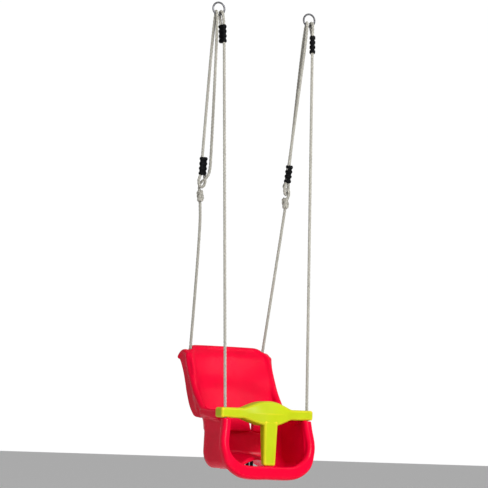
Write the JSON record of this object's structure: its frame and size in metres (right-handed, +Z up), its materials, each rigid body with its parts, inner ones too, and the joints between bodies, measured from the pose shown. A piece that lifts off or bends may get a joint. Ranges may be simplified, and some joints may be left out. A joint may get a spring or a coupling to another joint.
{
  "type": "toddler bucket swing",
  "caption": "High-backed bucket swing seat on four ropes, with a T-shaped safety bar that slides up the front ropes and two steel rings to hang it by.",
  "frame": {"origin": "midway between the two hook seats, which are the tops of the rings' holes", "axes": "+Z up, the child faces -Y, +X to the right when looking at the front of the seat"},
  "size_m": [0.3743, 0.3893, 1.5116],
  "materials": {
    "red_shell": "gloss",
    "lime_bar": "satin",
    "hemp_rope": "matte",
    "black_plastic": "satin",
    "ring_steel": "satin"
  },
  "bodies": {
    "rings": {"left_ring": "ring_steel", "right_ring": "ring_steel"},
    "seat": {"seat_shell": "red_shell", "under_seat_clip": "black_plastic", "front_rope_left": "hemp_rope", "upper_clamp_left": "black_plastic", "front_stop_knot_left": "hemp_rope", "rear_rope_left": "hemp_rope", "adjuster_clamp_left": "black_plastic", "adjuster_knot_left": "hemp_rope", "rear_stop_knot_left": "hemp_rope", "front_rope_right": "hemp_rope", "upper_clamp_right": "black_plastic", "front_stop_knot_right": "hemp_rope", "rear_rope_right": "hemp_rope", "adjuster_clamp_right": "black_plastic", "adjuster_knot_right": "hemp_rope", "rear_stop_knot_right": "hemp_rope"},
    "t_bar": {"crossbar": "lime_bar", "crotch_post": "lime_bar"}
  },
  "joints": [
    {"name": "swing", "type": "hinge", "parent": "rings", "child": "seat", "pos_m": [0, 0, -0.03533], "axis": [1, 0, 0], "range_deg": [-40, 40]},
    {"name": "t_bar_lift", "type": "slide", "parent": "seat", "child": "t_bar", "axis": [0, 0.0869, 0.9962], "range_m": [0, 0.25]}
  ]
}
